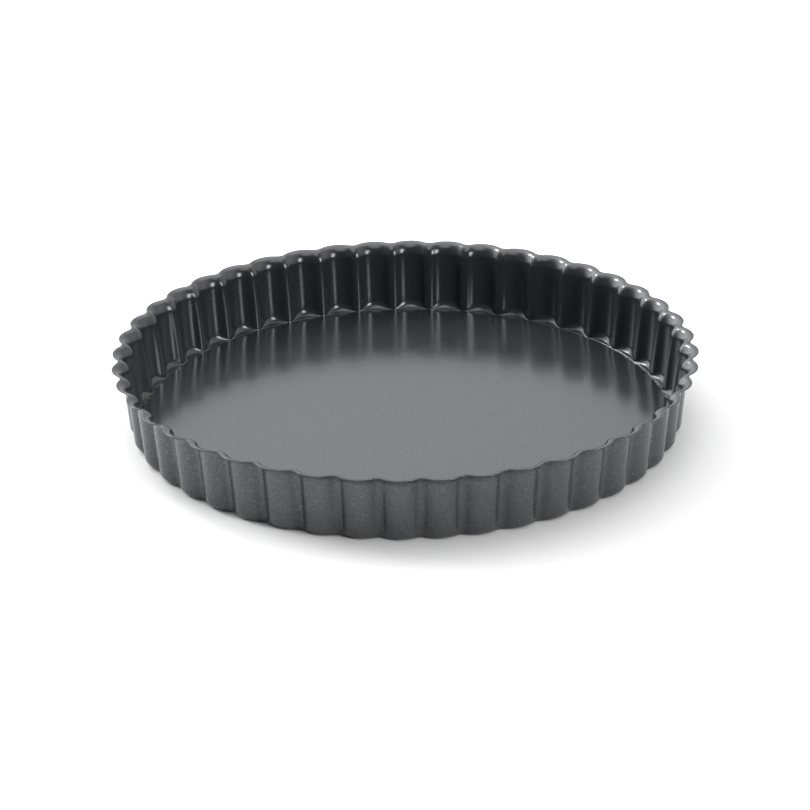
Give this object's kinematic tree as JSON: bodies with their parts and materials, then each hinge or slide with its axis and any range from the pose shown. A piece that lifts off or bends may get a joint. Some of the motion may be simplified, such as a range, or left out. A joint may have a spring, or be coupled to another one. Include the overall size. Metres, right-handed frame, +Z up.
{
  "type": "loose-bottomed fluted tart tin",
  "caption": "Round fluted baking tin with a flared scalloped rim and a flat loose base that lies on a ledge and lifts out.",
  "frame": {"origin": "centre of the foot, on the surface that the tin stands on", "axes": "+Z up, out of the tin's mouth; +X and +Y each run through the crest of a flute"},
  "size_m": [0.2956, 0.2956, 0.0362],
  "materials": {
    "ring_coating": "dark grey non-stick coating on drawn steel sheet, satin, with a fine metallic speckle",
    "base_coating": "dark grey non-stick coating on flat steel sheet, satin, with a fine metallic speckle"
  },
  "bodies": {
    "ring": {"fluted_ring": "ring_coating"},
    "base": {"loose_base": "base_coating"}
  },
  "joints": [
    {"name": "base_lift", "type": "slide", "parent": "ring", "child": "base", "axis": [0, 0, 1], "range_m": [0, 0.06]}
  ]
}
